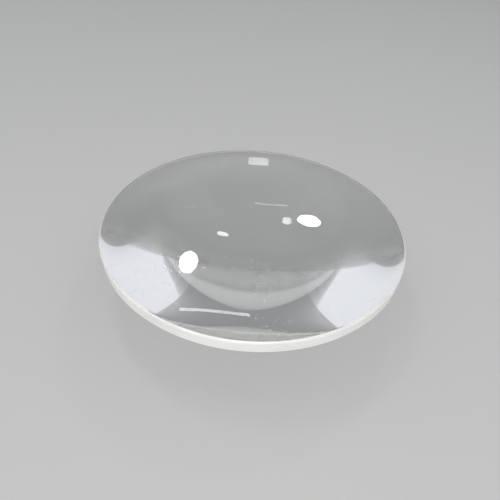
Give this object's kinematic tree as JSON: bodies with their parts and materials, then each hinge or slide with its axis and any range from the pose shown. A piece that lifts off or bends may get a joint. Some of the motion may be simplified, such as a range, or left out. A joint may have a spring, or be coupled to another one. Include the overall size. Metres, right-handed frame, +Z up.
{
  "type": "biconvex lens",
  "caption": "Thick clear glass lens, convex on both sides with unequal spherical surfaces, polished faces and a ground, bevelled cylindrical edge.",
  "frame": {"origin": "middle of the small flat at the lowest point of the lower surface, on the optical axis", "axes": "+Z up along the optical axis, from the stronger lower surface to the weaker upper surface; +X and +Y across the lens, which is round about Z"},
  "size_m": [0.075, 0.075, 0.0178],
  "materials": {
    "clear_glass": "optical polish on both faces, fine ground finish on the edge and its bevels"
  },
  "bodies": {
    "root": {"lens": "clear_glass"}
  },
  "joints": []
}
